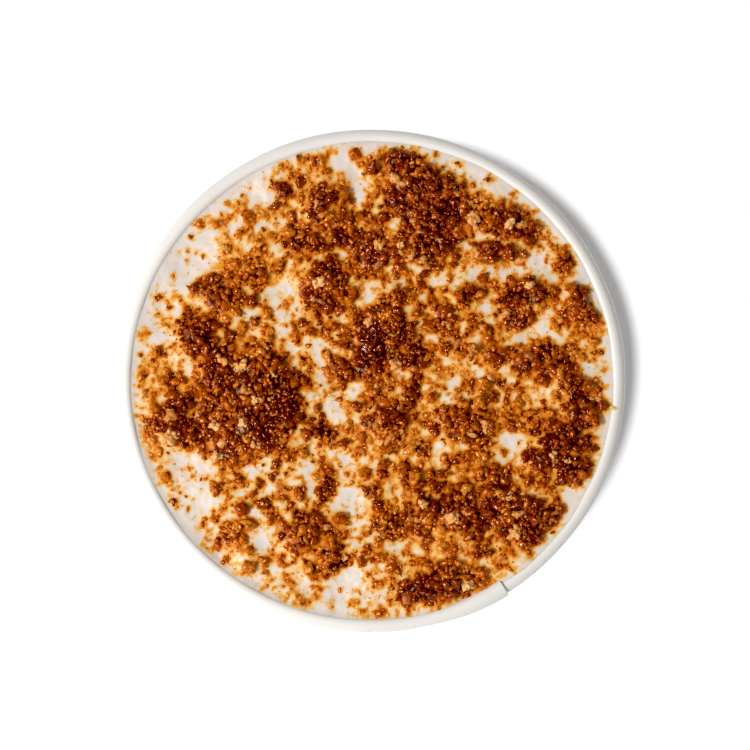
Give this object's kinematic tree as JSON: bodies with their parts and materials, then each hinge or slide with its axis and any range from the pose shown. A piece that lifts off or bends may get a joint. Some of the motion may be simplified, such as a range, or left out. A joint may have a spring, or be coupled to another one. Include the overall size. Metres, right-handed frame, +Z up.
{
  "type": "creme brulee in a paper cup",
  "caption": "Round paper dessert cup with a rolled rim and a side seam, filled to the rim with custard cream and strewn with burnt sugar.",
  "frame": {"origin": "on the floor under the middle of the cup", "axes": "+Z up, out of the cup's mouth; +X and +Y to the right and to the top of the cup seen from straight above"},
  "size_m": [0.0904, 0.0896, 0.0621],
  "materials": {
    "coated_paper": "matte",
    "custard_cream": "satin",
    "burnt_sugar": "gloss",
    "pale_sugar": "matte"
  },
  "bodies": {
    "root": {"cup_wall": "coated_paper", "cup_base": "coated_paper", "cream": "custard_cream"}
  },
  "joints": []
}
